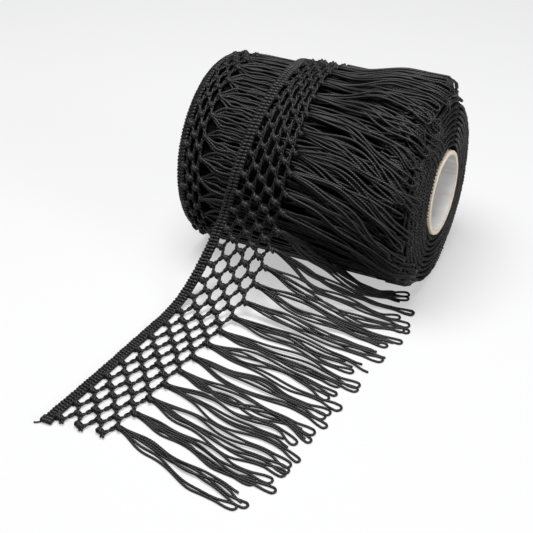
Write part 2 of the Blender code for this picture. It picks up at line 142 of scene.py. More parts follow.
Lie = namedtuple("Lie", "along heading_x knots_x")
TRIM_LIE = (
    Lie(-0.020, -0.0575, -0.0240),
    Lie(0.000, -0.0553, -0.0225),
    Lie(0.035, -0.0512, -0.0183),
    Lie(0.070, -0.0478, -0.0148),
    Lie(0.100, -0.0446, -0.0115),
    Lie(0.125, -0.0412, -0.0068),
    Lie(0.140, -0.0380, -0.0048),
    Lie(0.153, -0.0346, -0.0026),
    Lie(0.170, -0.0306, 0.0000),
    Lie(0.195, -0.0262, 0.0012),
    Lie(0.240, -0.0222, -0.0005),
    Lie(0.300, -0.0280, -0.0030),
    Lie(0.362, -0.0360, -0.0100),
    Lie(0.420, -0.0370, -0.0110),
    Lie(0.480, -0.0360, -0.0100),
)

# The trim is drawn out a little where it climbs, so its tassels aren't evenly spaced
Spot = namedtuple("Spot", "number along")
TASSEL_SPOTS = (
    Spot(-2, -0.0125),
    Spot(0, 0.0097),
    Spot(4, 0.0545),
    Spot(8, 0.1000),
    Spot(12, 0.1400),
    Spot(16, 0.1812),
    Spot(20, 0.2215),
    Spot(36, 0.3911),
)

# Tassels: where the loose ones lie, and how the loops of all of them are laid
FRINGE_LENGTH = 70.0 * MM
FIRST_TIP_Y = -190.0 * MM
TIP_STEP = 12.4 * MM
SLOPE_FALL = 1.5
LANDING = 0.85
SIDE_LEVELLING = 1.6
BUNDLE_WAVE = 1.1 * MM
BUNDLE_BEAT = 1.1
BUNDLE_SHIFT = 0.11
LOOPS = 4
LOOK_AHEAD = 0.01
ROUND_END_STEPS = 6

# Edges of the wound turns on both faces
Winding = namedtuple("Winding", "name outward turns first_mm step_mm beads_end beads_start")
RIGHT_WINDING = Winding("right_face_layers", 1.0, 8.6, 22.8, 2.68, 120.0, 250.0)
LEFT_WINDING = Winding("left_face_layers", -1.0, 8.3, 22.4, 2.72, 360.0, 360.0)

# Camera and light
PICTURE_WIDTH = 533
FOCAL_PIXELS = 1200.0
SENSOR_WIDTH = 36.0
CAMERA_TURN = 25.4
CAMERA_RISE = 34.0
CAMERA_DISTANCE = 0.568
CAMERA_TARGET = Vector((0.0, -0.0706, 0.0288))
FLOOR_HALF = 4.0
WORLD_STRENGTH = 0.06
Lamp = namedtuple("Lamp", "name place aim size watts")
LAMPS = (
    Lamp("top_light", Vector((-0.08, -0.16, 1.0)), Vector((0.0, -0.05, 0.03)), 0.75, 30.0),
    Lamp("side_light", Vector((1.0, -0.25, 0.45)), Vector((0.0, -0.02, 0.05)), 0.5, 9.0),
)


class Heading:
    """Lengthwise cords of the heading, and how much its rungs differ."""

    cord = 0.7 * MM
    cord_shares = (0.14, 0.38, 0.62, 0.86)
    wander = 0.12 * MM
    shift = 0.15 * MM
    plumpness = (0.94, 1.06)


class CutEnd:
    """The heading's cut edge: its lumps as (along, radius), and its cord end as (along, across)."""

    lumps_mm = ((0.4, 1.30), (2.2, 1.15))
    lump_shares = (0.10, 0.32, 0.55, 0.78, 1.0)
    lump_height = 1.3 * MM
    stub_mm = ((1.0, 1.2), (-0.6, 0.4), (-1.6, -0.8), (-2.0, -1.9))
    stub_height = 0.6 * MM
    stub_radius = 0.42 * MM


class Net:
    """Links of the net and how its knots differ: parting, lift and plumpness are in cord radii."""

    wander = 0.4 * MM
    shift = 0.3 * MM
    knot_sizes = (0.92, 1.1)
    knot_lean = (-0.1, 0.25)
    drawn_tight = 0.12
    tight_span = (ROLL_START, 2 * PITCH)
    link_steps = 6
    link_height = 1.2 * MM
    link_parting = 1.1
    link_lift = 0.9
    link_phase = 0.3
    crossing_span = (0.1, 0.8)
    cut_share = 0.45
    edge_spread = 1.5 * MM
    edge_sunk = 0.7 * MM
    edge_gap = 0.8 * MM
    edge_plumpness = 1.2
    frame_step = 0.4 * MM


class Loose:
    """Loops of the loose tassels, with places along a loop as shares of its length."""

    sides = 7
    steps = 28
    full_chance = 0.3
    swap_chance = 0.25
    cut_chance = 0.18
    fan = (8.2 * MM, 9.8 * MM)
    reach = (0.90, 1.05)
    neck_step = 0.35 * MM
    astray = 1.9 * MM
    opens = (0.25, 0.5)
    open_start = 2.0 * MM
    in_knot = 0.8 * MM
    beat = (0.9, 2.0)
    sway = (0.5 * MM, 1.7 * MM)
    sway_span = (0.0, 0.4)
    layers = (0.0, 0.5 * MM, 1.0 * MM, 0.25 * MM)
    parted = (0.4 * MM, 1.5 * MM)
    parting_span = (0.0, 1 / 3)
    neck_half = 0.2 * MM
    ripple = 0.75 * MM
    ripple_beat = 1.7
    calm_span = (0.7, 0.2)
    waist = 0.6 * MM
    waist_span = (0.66, 0.18)
    tip_width = (1.3 * MM, 2.1 * MM)
    tip_span = (0.87, 0.11)
    stack_height = 1.2 * MM
    stack_side = 0.5 * MM
    stack_odd = 0.5 * MM
    stack_even = -0.1 * MM
    stack_span = (0.0, 1 / 4.5)
    flat_span = (0.8, 0.2)


class Wound:
    """Loops that lie on the roll, with places along a loop as shares of its length."""

    steps = 24
    past_last_step = 0.99
    cut_chance = 0.12
    reach = (0.9, 1.06)
    start_lean = (0.15, 0.5)
    end_lean = (0.9, 1.5)
    lean_span = (0.0, 1 / 1.15)
    beat = (0.9, 2.0)
    sway = (0.35, 1.0)
    sway_span = (0.0, 0.5)
    open_span = (0.7, 0.6)
    parted = (0.5 * MM, 1.3 * MM)
    parting_span = (0.0, 0.25)
    neck_half = 0.4 * MM
    ripple = 0.35 * MM
    ripple_beat = 2.0
    ripple_span = (0.0, 1 / 3)
    calm_span = (0.7, 0.2)
    tip_width = (1.1 * MM, 1.9 * MM)
    tip_span = (0.75, 0.22)
    side_lift = 0.35 * MM
    tip_rise = 0.75
    edge = (58.5 * MM, 66.5 * MM)
    hidden_edge = 56.0 * MM
    past_edge = 0.08
    back_span = (98.0, 10.0)
    below_span = (38.0, 10.0)
    rim_x = 55.0 * MM
    rim_fall = 0.45
    proud = 5.2 * MM
    proud_span = (35.0, 40.0)
    proud_end_span = (-150.0, 50.0)
    proud_across = (10.0 * MM, 26.0 * MM)


class LastFringe:
    """Tassels of the last turn: their loops' heights, lengths in mm, droop, sway and fan."""

    rises_mm = (0.4, 1.1, 1.8)
    reach_mm = (63, 55)
    behind_span = (100.0, 20.0)
    above = 0.9 * MM
    droop = 32.0
    sway = 17.0
    opens = 0.45
    neck_step = 0.42 * MM
    fan_step = 2.7 * MM
    astray = 1.6 * MM


class EarlierFringe:
    """Tassels of the turn below, and the loops that fill between them."""

    rises_mm = (0.3, 0.9, 1.5)
    reach = 58.0 * MM
    under_heading = 6.0 * MM
    above = 0.7 * MM
    droop = 9.0
    sway = 9.0
    open_length = 6.5 * MM
    neck_step = 0.45 * MM
    fan_step = 2.9 * MM
    astray = 0.8 * MM
    fillers = 3
    filler_start = (2.0 * MM, 5.0 * MM)
    filler_above = 0.2 * MM
    filler_opens = 0.5
    filler_astray = 1.5 * MM


class Bedding:
    """Strands of still earlier turns, and the short loops at the roll's right rim."""

    radius = 46.9 * MM
    opens = 0.5
    spacing = 0.4
    strands = 150
    strand_root = (-12.0 * MM, 10.0 * MM)
    strand_rises_mm = (0.0, 0.7, 1.4)
    strand_reach = (50.0 * MM, 68.0 * MM)
    strand_droop = 24.0
    strand_sway = 16.0
    strand_astray = 4.0 * MM
    rim_loops = 70
    rim_turns = (-75.0, 150.0)
    rim_rises_mm = (0.4, 1.1, 1.8)
    rim_root = (38.0 * MM, 48.0 * MM)
    rim_reach = (12.0 * MM, 22.0 * MM)
    rim_droop = 34.0
    rim_sway = 40.0
    rim_astray = 2.0 * MM


class Face:
    """Cords on the roll's faces, and the shape of the faces themselves."""

    cord_mm = 0.80
    bead_mm = 0.17
    plain_bead_mm = 0.05
    wobble_mm = 0.4
    wobble_scale = 0.05
    bulge_mm = 0.6
    bulge_scale = 0.03
    uneven_mm = 0.15
    bead_lift = 1.5
    clear = 0.7 * MM
    groove_out = 1.4 * MM
    groove_depth = 1.5 * MM
    groove_cord = 0.45 * MM
    right_proud = 1.2 * MM
    right_rim_proud = 1.8 * MM
    right_power = 1.5
    left_hollow = 1.5 * MM
    left_power = 4


def smooth(t):
    t = min(max(t, 0.0), 1.0)
    return t * t * (3.0 - 2.0 * t)


def ease(value, span):
    start, length = span
    return smooth((value - start) / length)


def blend(start, end, t):
    return start + (end - start) * t


def direction(start, end):
    """Unit step from one flat place to another."""
    long = math.hypot(end[0] - start[0], end[1] - start[1])
    return (end[0] - start[0]) / long, (end[1] - start[1]) / long


def either_way(rng, limit):
    return rng.uniform(-limit, limit)


# How the trim lies


def read_table(rows, key, column):
    """One column of a table at a value of its first column, on a smooth curve through the rows."""
    last = len(rows) - 2
    index = 0
    while index < last and rows[index + 1][0] < key:
        index += 1
    before, after = rows[index], rows[index + 1]
    previous, following = rows[max(index - 1, 0)], rows[min(index + 2, last + 1)]
    span = after[0] - before[0]
    t = min(max((key - before[0]) / span, 0.0), 1.0)
    start, end = getattr(before, column), getattr(after, column)
    start_slope = (end - getattr(previous, column)) / (after[0] - previous[0]) * span
    end_slope = (getattr(following, column) - start) / (following[0] - before[0]) * span
    return (
        start * (2 * t**3 - 3 * t**2 + 1)
        + start_slope * (t**3 - 2 * t**2 + t)
        + end * (3 * t**2 - 2 * t**3)
        + end_slope * (t**3 - t**2)
    )


def on_roll(turn, x, radius, clear=0.0):
    """Point of the roll, kept as far above the floor as its cord needs."""
    angle = math.radians(turn)
    z = AXIS_HEIGHT + radius * math.sin(angle)
    return Vector((x, -radius * math.cos(angle), max(z, clear, STRAND)))


def bend_angle(along):
    """How far the loose end has bent up from the floor, in radians."""
    return min(max((along - FLOOR_LENGTH) / BEND_RADIUS, 0.0), math.pi / 2)


def on_loose_end(along, x, height):
    angle = bend_angle(along)
    y = CUT_Y + min(along, FLOOR_LENGTH) + BEND_RADIUS * math.sin(angle)
    z = BEND_RADIUS * (1.0 - math.cos(angle))
    return Vector((x, y, z)) + Vector((0.0, -math.sin(angle), math.cos(angle))) * height


class LastTurn:
    """The trim from its cut end over the floor, up and round the roll."""

    rows = 6
    first_knot = 7.0 * MM
    knot_half = 1.6 * MM
    knot_size = 1.18
    tucked = 2.6 * MM
    rung_lean = (-14.0, 3.0)
    rung_lean_span = (0.06, 0.07)
    end = ROLL_START + TURN_MIDDLE_RADIUS * math.radians(LAST_TURN_END)

    def turn(self, along):
        return math.degrees((along - ROLL_START) / TURN_MIDDLE_RADIUS)

    def place(self, along, x, height):
        if along <= ROLL_START:
            return on_loose_end(along, x, height)
        turn = self.turn(along)
        sunk = self.tucked * ease(turn, FADE)
        return on_roll(turn, x, ROLL_RADIUS + GAP + height - sunk, PRESSED - height)

    def tassel_along(self, number):
        return read_table(TASSEL_SPOTS, number, "along")

    def heading_x(self, along):
        return read_table(TRIM_LIE, along, "heading_x")

    def knots_x(self, along):
        return read_table(TRIM_LIE, along, "knots_x")

    def slant(self, along):
        """How far the heading's rungs lean, in degrees: back near the cut end, ahead on the roll."""
        return blend(*self.rung_lean, ease(along, self.rung_lean_span))


class EarlierTurn:
    """The turn below the last one, which shows at the roll's left."""

    rows = 4
    first_knot = 5.4 * MM
    knot_half = 0.8 * MM
    knot_size = 1.06
    radius = 46.2 * MM
    tassels = 28
    pitch = math.tau * radius / tassels
    end = math.tau * radius
    net_width = 14.7 * MM
    rung_lean = 4.0
    rim_x = -56.5 * MM
    rim_fall = 0.3 * MM
    rim_power = 1.5
    overhang = 0.8 * MM
    wander = 0.9 * MM
    wander_slice = 3.0

    def turn(self, along):
        return math.degrees(along / self.radius) - 90.0

    def place(self, along, x, height):
        over_rim = max(self.rim_x - x, 0.0) / MM
        radius = self.radius + height - self.rim_fall * over_rim**self.rim_power
        return on_roll(self.turn(along), x, radius, PRESSED - height)

    def tassel_along(self, number):
        return (number + 0.5) * self.pitch

    def heading_x(self, along):
        angle = along / self.radius
        wander = noise.noise(Vector((math.cos(angle), math.sin(angle), self.wander_slice)))
        return ROLL_LEFT - self.overhang + self.wander * wander

    def knots_x(self, along):
        return self.heading_x(along) + self.net_width

    def slant(self, along):
        return self.rung_lean


# Cords: routes of points with a radius at each, skinned by one node tree


def new_tree(name, sockets):
    tree = bpy.data.node_groups.new(name, "GeometryNodeTree")
    tree.interface.new_socket(name="Geometry", in_out="INPUT", socket_type="NodeSocketGeometry")
    for label, kind in sockets:
        tree.interface.new_socket(name=label, in_out="INPUT", socket_type=kind)
    tree.interface.new_socket(name="Geometry", in_out="OUTPUT", socket_type="NodeSocketGeometry")
    return tree


def add_node(tree, kind, values=None, **settings):
    node = tree.nodes.new(kind)
    for key, value in settings.items():
        setattr(node, key, value)
    set_inputs(node, values or {})
    return node


def set_inputs(node, values):
    for key, value in values.items():
        node.inputs[key].default_value = value


def wire(tree, *links):
    """Links given as node and output, then node and input."""
    for source, output, target, entry in links:
        tree.links.new(source.outputs[output], target.inputs[entry])


def cord_tree():
    """Skins routes with a round section, keeps twist lengths and turns as UV, and closes seams."""
    sockets = (
        ("Sides", "NodeSocketInt"),
        ("Twist Length", "NodeSocketFloat"),
        ("Seam", "NodeSocketFloat"),
        ("Yarn", "NodeSocketMaterial"),
    )
    tree = new_tree("skin_of_cord", sockets)
    given = add_node(tree, "NodeGroupInput")
    result = add_node(tree, "NodeGroupOutput")
    route_place = add_node(tree, "GeometryNodeSplineParameter")
    keep_length = add_node(tree, "GeometryNodeCaptureAttribute")
    keep_length.capture_items.new("FLOAT", "Length")
    points = add_node(tree, "ShaderNodeMath", {1: 1.0}, operation="ADD")
    ring = add_node(tree, "GeometryNodeCurveArc", {"Radius": 1.0, "Sweep Angle": math.tau})
    ring_place = add_node(tree, "GeometryNodeSplineParameter")
    keep_round = add_node(tree, "GeometryNodeCaptureAttribute")
    keep_round.capture_items.new("FLOAT", "Round")
    radius = add_node(tree, "GeometryNodeInputRadius")
    skin = add_node(tree, "GeometryNodeCurveToMesh")
    twists = add_node(tree, "ShaderNodeMath", operation="DIVIDE")
    pair = add_node(tree, "ShaderNodeCombineXYZ")
    store = add_node(
        tree,
        "GeometryNodeStoreNamedAttribute",
        {"Name": "UVMap"},
        data_type="FLOAT2",
        domain="CORNER",
    )
    weld = add_node(tree, "GeometryNodeMergeByDistance")
    shade = add_node(tree, "GeometryNodeSetShadeSmooth")
    realize = add_node(tree, "GeometryNodeRealizeInstances")
    finish = add_node(tree, "GeometryNodeSetMaterial")
    wire(
        tree,
        (given, "Geometry", keep_length, 0),
        (route_place, "Length", keep_length, 1),
        (given, "Sides", points, 0),
        (points, 0, ring, "Resolution"),
        (ring, "Curve", keep_round, 0),
        (ring_place, "Factor", keep_round, 1),
        (keep_length, 0, skin, "Curve"),
        (keep_round, 0, skin, "Profile Curve"),
        (radius, 0, skin, "Scale"),
        (keep_length, 1, twists, 0),
        (given, "Twist Length", twists, 1),
        (twists, 0, pair, "X"),
        (keep_round, 1, pair, "Y"),
        (skin, 0, store, "Geometry"),
        (pair, 0, store, "Value"),
        (store, 0, weld, "Geometry"),
        (given, "Seam", weld, "Distance"),
        (weld, 0, shade, "Geometry"),
        (shade, 0, realize, "Geometry"),
        (realize, 0, finish, "Geometry"),
        (given, "Yarn", finish, "Material"),
        (finish, 0, result, 0),
    )
    return tree


def knot_tree():
    """Ties one knot at every point, turned and sized by the point's own values."""
    sockets = (("Knot", "NodeSocketObject"), ("Yarn", "NodeSocketMaterial"))
    tree = new_tree("knots_at_points", sockets)
    given = add_node(tree, "NodeGroupInput")
    result = add_node(tree, "NodeGroupOutput")
    pattern = add_node(tree, "GeometryNodeObjectInfo")
    turned, sized = (
        add_node(tree, "GeometryNodeInputNamedAttribute", {"Name": label}, data_type="FLOAT_VECTOR")
        for label in ("turned", "sized")
    )
    tied = add_node(tree, "GeometryNodeInstanceOnPoints")
    realize = add_node(tree, "GeometryNodeRealizeInstances")
    finish = add_node(tree, "GeometryNodeSetMaterial")
    wire(
        tree,
        (given, "Geometry", tied, "Points"),
        (given, "Knot", pattern, "Object"),
        (pattern, "Geometry", tied, "Instance"),
        (turned, "Attribute", tied, "Rotation"),
        (sized, "Attribute", tied, "Scale"),
        (tied, 0, realize, "Geometry"),
        (realize, 0, finish, "Geometry"),
        (given, "Yarn", finish, "Material"),
        (finish, 0, result, 0),
    )
    return tree


def show(name, data):
    """New object in the scene, at the origin."""
    piece = bpy.data.objects.new(name, data)
    bpy.context.scene.collection.objects.link(piece)
    return piece


def run_tree(guide, tree, values):
    """Plain mesh object made by a node tree from a guide, which is then removed."""
    modifier = guide.modifiers.new(tree.name, "NODES")
    modifier.node_group = tree
    for item in tree.interface.items_tree:
        if item.name in values:
            modifier[item.identifier] = values[item.name]
    depsgraph = bpy.context.evaluated_depsgraph_get()
    mesh = bpy.data.meshes.new_from_object(guide.evaluated_get(depsgraph))
    name = guide.name
    bpy.data.objects.remove(guide, do_unlink=True)
    mesh.name = name
    return show(name, mesh)


class Cords:
    """Routes of cord that become one piece."""

    def __init__(self, name, sides=6):
        self.name = name
        self.sides = sides
        self.routes = []

    def lay(self, places, radius):
        """Adds a cord with rounded ends: radius is one number, or one for each place."""
        radii = list(radius) if hasattr(radius, "__len__") else [radius] * len(places)
        start = (places[0] - places[1]).normalized() * radii[0]
        end = (places[-1] - places[-2]).normalized() * radii[-1]
        before = [places[0] + start * END_REACH, places[0] + start * END_SHOULDER]
        after = [places[-1] + end * END_SHOULDER, places[-1] + end * END_REACH]
        shoulders = (radii[0] * END_SHOULDER_RADIUS, radii[-1] * END_SHOULDER_RADIUS)
        self.routes.append(([*before, *places, *after], [0.0, shoulders[0], *radii, shoulders[1], 0.0]))

    def skin(self, yarn):
        curve = bpy.data.curves.new(self.name, "CURVE")
        curve.dimensions = "3D"
        for places, radii in self.routes:
            spline = curve.splines.new("POLY")
            spline.points.add(len(places) - 1)
            spline.points.foreach_set("co", [v for p in places for v in (p.x, p.y, p.z, 1.0)])
            spline.points.foreach_set("radius", radii)
        values = {"Sides": self.sides, "Twist Length": TWIST_LENGTH, "Seam": WELD_DISTANCE, "Yarn": yarn}
        return run_tree(show(self.name, curve), TREES["cord"], values)


def make_knot_pattern(yarn):
    """One square knot, drawn tight along the line from heading to fringe, with a bar across it."""
    cords = Cords("knot_pattern")
    lump = [Vector((x, y, KNOT_HEIGHT)) * MM for x, y, _ in KNOT_LUMP]
    cords.lay(lump, [radius * MM for _, _, radius in KNOT_LUMP])
    cords.lay([Vector(place) * MM for place in KNOT_BAR], KNOT_BAR_RADIUS)
    return cords.skin(yarn)


def tie_knots(name, places, pattern, yarn):
    """places holds (point, across, forward, size) for each knot."""
    mesh = bpy.data.meshes.new(name)
    mesh.from_pydata([place[0] for place in places], [], [])
    turned = mesh.attributes.new("turned", "FLOAT_VECTOR", "POINT")
    sized = mesh.attributes.new("sized", "FLOAT_VECTOR", "POINT")
    for index, (_, across, forward, size) in enumerate(places):
        normal = across.cross(forward).normalized()
        forward = normal.cross(across).normalized()
        matrix = Matrix((across.normalized(), forward, normal)).transposed()
        turned.data[index].vector = Vector(matrix.to_euler())
        sized.data[index].vector = Vector((size, size, size))
    return run_tree(show(name, mesh), TREES["knot"], {"Knot": pattern, "Yarn": yarn})


def join_pieces(name, pieces):
    """One piece from several that share a material."""
    bm = bmesh.new()
    for piece in pieces:
        bm.from_mesh(piece.data)
    material = pieces[0].data.materials[0]
    mesh = bpy.data.meshes.new(name)
    bm.to_mesh(mesh)
    bm.free()
    mesh.materials.append(material)
    for piece in pieces:
        bpy.data.objects.remove(piece, do_unlink=True)
    return show(name, mesh)


# The trim's own pieces


def frame_at(lay, along, x):
    """Unit vectors across and forward on the trim."""
    step = Net.frame_step
    across = lay.place(along, x + step, 0.0) - lay.place(along, x - step, 0.0)
    forward = lay.place(along + step, x, 0.0) - lay.place(along - step, x, 0.0)
    return across.normalized(), forward.normalized()


def heading_routes(cords, lay, start, end, rng):
    """Closed row of plump rungs, each drawn in at its middle, over four cords that run the length."""
    rung = PITCH / RUNGS_PER_PITCH
    stations = int((end - start) / rung)
    for share in Heading.cord_shares:
        line = []
        for station in range(stations + 1):
            along = start + (end - start) * station / stations
            line.append(lay.place(along, lay.heading_x(along) + LADDER_WIDTH * share, Heading.cord))
        cords.lay(line, Heading.cord)
    for number in range(stations):
        along = start + (number + 0.5) * rung + either_way(rng, Heading.wander)
        lean = math.tan(math.radians(lay.slant(along))) * LADDER_WIDTH
        x = lay.heading_x(along) + either_way(rng, Heading.shift)
        plump = rng.uniform(*Heading.plumpness)
        route, radii = [], []
        for t, height, radius in RUNG:
            route.append(lay.place(along + lean * (t - 0.5), x + LADDER_WIDTH * t, height * MM))
            radii.append(radius * plump * MM)
        cords.lay(route, radii)


def cut_end_of_heading(cords, lay):
    """The heading's cut end, drawn up to a lump from which one cord end pokes out."""
    left = lay.heading_x(0.0)
    for along, radius in CutEnd.lumps_mm:
        lump = []
        for share in CutEnd.lump_shares:
            lump.append(lay.place(along * MM, left + LADDER_WIDTH * share, CutEnd.lump_height))
        cords.lay(lump, radius * MM)
    stub = [lay.place(along * MM, left + x * MM, CutEnd.stub_height) for along, x in CutEnd.stub_mm]
    cords.lay(stub, CutEnd.stub_radius)


def make_heading(name, lay, start, end, rng, yarn, cut=False):
    cords = Cords(name)
    heading_routes(cords, lay, start, end, rng)
    if cut:
        cut_end_of_heading(cords, lay)
    return cords.skin(yarn)


def half_back(lay, row):
    """Every other row of knots lies half a pitch nearer the cut end."""
    return 0.5 if (lay.rows - row) % 2 else 0.0


def net_places(lay, columns, rng):
    """Place of each knot as (along, x): the last row carries the tassels."""
    places = {}
    for row in range(1, lay.rows + 1):
        for column in range(-1, columns + 1):
            along = lay.tassel_along(column - half_back(lay, row)) + either_way(rng, Net.wander)
            share = (row - 1) / (lay.rows - 1)
            x = blend(lay.heading_x(along) + lay.first_knot, lay.knots_x(along), share)
            places[row, column] = (along, x + either_way(rng, Net.shift))
    return places


def link_route(lay, start, end, side, phase, share=1.0):
    """One of the two cords between knots, which cross once on the way."""
    ahead_along, ahead_x = direction(start, end)
    route = []
    for step in range(Net.link_steps + 1):
        t = step / Net.link_steps
        angle = math.pi * ease(t, Net.crossing_span) + phase
        sideways = side * NET_CORD * Net.link_parting * math.cos(angle)
        height = Net.link_height + side * NET_CORD * Net.link_lift * math.sin(angle)
        along = blend(start[0], end[0], t * share) - ahead_x * sideways
        x = blend(start[1], end[1], t * share) + ahead_along * sideways
        route.append(lay.place(along, x, height))
    return route


def net_routes(cords, knots, lay, places, start, end, rng):
    """Cords and knots of the net between two distances along the trim."""
    for (row, column), (along, x) in places.items():
        if not start <= along < end:
            continue
        forward_column = column if half_back(lay, row) else column + 1
        for other in (places.get((row + 1, forward_column)), places.get((row + 1, forward_column - 1))):
            if other is None:
                continue
            share = Net.cut_share if other[0] < 0.0 else 1.0
            phase = either_way(rng, Net.link_phase)
            for side in (-1.0, 1.0):
                leave, arrive = (along, x + lay.knot_half), (other[0], other[1] - lay.knot_half)
                cords.lay(link_route(lay, leave, arrive, side, phase, share), NET_CORD)
        if row == 1:
            edge_x = lay.heading_x(along) + LADDER_WIDTH - Net.edge_sunk
            for side in (-1.0, 1.0):
                edge = (along + side * Net.edge_spread, edge_x)
                route = link_route(lay, edge, (along, x - Net.edge_gap), side, 0.0)
                cords.lay(route, NET_CORD * Net.edge_plumpness)
        across, forward = frame_at(lay, along, x)
        lean = rng.uniform(*Net.knot_lean)
        size = lay.knot_size * (rng.uniform(*Net.knot_sizes) - Net.drawn_tight * ease(along, Net.tight_span))
        knots.append((lay.place(along, x, 0.0), across - forward * lean, forward + across * lean, size))


def make_net(name, lay, places, start, end, pattern, rng, yarn):
    cords, knots = Cords(name), []
    net_routes(cords, knots, lay, places, start, end, rng)
    return join_pieces(name, [cords.skin(yarn), tie_knots(name + "_knots", knots, pattern, yarn)])


def loop_routes(cords, place, centre, width, height, radius, steps, cut=False):
    """A loop of strand: out along one leg, round its end and back, or two cut legs."""
    legs = []
    for side in (-1.0, 1.0):
        leg = []
        for step in range(steps + 1):
            t = step / steps
            a, b = centre(t)
            ahead, sideways = direction((a, b), centre(t + LOOK_AHEAD))
            w = width(t, side) * side
            leg.append(place(a - sideways * w, b + ahead * w, height(t, side)))
        legs.append(leg)
    if cut:
        cords.lay(legs[0], radius)
        cords.lay(legs[1][: steps - 1], radius)
        return
    a, b = centre(1.0)
    ahead, sideways = direction(centre(1.0 - LOOK_AHEAD), (a, b))
    round_end = []
    reach = (width(1.0, 1.0) + width(1.0, -1.0)) / 2
    for step in range(1, ROUND_END_STEPS):
        angle = math.pi * step / ROUND_END_STEPS
        forward, across = reach * math.sin(angle), -reach * math.cos(angle)
        end_a = a + ahead * forward - sideways * across
        end_b = b + sideways * forward + ahead * across
        round_end.append(place(end_a, end_b, height(1.0, -math.cos(angle))))
    cords.lay(legs[0] + round_end + list(reversed(legs[1])), radius)


class LooseBundle:
    """Middle line of a loose tassel, from its knot to its tip on the floor."""

    def __init__(self, number):
        self.number = number
        along = read_table(TASSEL_SPOTS, number, "along")
        angle = bend_angle(along)
        self.root = on_loose_end(along, read_table(TRIM_LIE, along, "knots_x") + LastTurn.knot_half, 0.0)
        self.side = Vector((0.0, math.cos(angle), math.sin(angle)))
        self.run = math.sqrt(FRINGE_LENGTH**2 - self.root.z**2)
        turn = math.asin((FIRST_TIP_Y + TIP_STEP * number - self.root.y) / self.run)
        self.heading = Vector((math.cos(turn), math.sin(turn), 0.0))

    def at(self, run, sideways, height):
        t = run / self.run
        clamped = min(max(t, 0.0), 1.0)
        left = max(1.0 - clamped / LANDING, 0.0)
        place = self.root + self.heading * run
        place.z = self.root.z * left**SLOPE_FALL
        slope = -SLOPE_FALL * self.root.z * left ** (SLOPE_FALL - 1.0) / (LANDING * self.run)
        ahead = (self.heading + Vector((0.0, 0.0, slope))).normalized()
        flat_side = Vector((-self.heading.y, self.heading.x, 0.0))
        side = self.side.lerp(flat_side, min(clamped * SIDE_LEVELLING, 1.0))
        side = (side - ahead * side.dot(ahead)).normalized()
        wave = BUNDLE_WAVE * math.sin(math.tau * (BUNDLE_BEAT * t + BUNDLE_SHIFT * self.number)) * clamped
        point = place + side * (sideways + wave) + ahead.cross(side) * height
        point.z = max(point.z, LOOSE_STRAND)
        return point


def loose_tassel(number, rng, yarn):
    """Loops of strand that leave the knot as a bundle and fan out on the floor."""
    bundle = LooseBundle(number)
    cords = Cords(f"loose_tassel_{number + 1:02d}", sides=Loose.sides)
    loops = LOOPS if rng.random() < Loose.full_chance else LOOPS - 1
    fan = [loop - (loops - 1) / 2 for loop in range(loops)]
    if rng.random() < Loose.swap_chance:
        swap = rng.randrange(loops - 1)
        fan[swap], fan[swap + 1] = fan[swap + 1], fan[swap]
    spread = rng.uniform(*Loose.fan) / loops
    for loop in range(loops):
        reach = bundle.run * rng.uniform(*Loose.reach)
        neck = (loop - (loops - 1) / 2) * Loose.neck_step
        goal = fan[loop] * spread + either_way(rng, Loose.astray)
        opens = rng.uniform(*Loose.opens)
        phase, beat = rng.random(), rng.uniform(*Loose.beat)
        sway = rng.uniform(*Loose.sway)
        tip_width = rng.uniform(*Loose.tip_width)
        parted = [rng.uniform(*Loose.parted) for _ in range(2)]
        beats = [rng.random() for _ in range(2)]

        def centre(t):
            run = (reach + Loose.in_knot) * t - Loose.in_knot
            open_share = smooth((run + Loose.open_start) / (reach * opens))
            wave = sway * math.sin(math.tau * (beat * t + phase)) * ease(t, Loose.sway_span)
            return run, blend(neck, goal, open_share) + wave

        def width(t, side):
            leg = 0 if side < 0 else 1
            ripple = Loose.ripple * math.sin(math.tau * (Loose.ripple_beat * t + beats[leg]))
            ripple *= ease(t, Loose.parting_span) * (1.0 - ease(t, Loose.calm_span))
            middle = blend(Loose.neck_half, parted[leg], ease(t, Loose.parting_span)) + ripple
            waist = blend(middle, Loose.waist, ease(t, Loose.waist_span))
            return blend(waist, tip_width, ease(t, Loose.tip_span))

        def height(t, side):
            own = Loose.stack_odd if loop % 2 else Loose.stack_even
            stack = Loose.stack_height + Loose.stack_side * side + own
            low = LOOSE_STRAND + Loose.layers[loop] * (1.0 - ease(t, Loose.flat_span))
            return blend(stack, low, ease(t, Loose.stack_span))

        cut = rng.random() < Loose.cut_chance
        loop_routes(cords, bundle.at, centre, width, height, LOOSE_STRAND, Loose.steps, cut)
    return cords.skin(yarn)


Combed = namedtuple("Combed", "root_x reach radius droop sway opens")


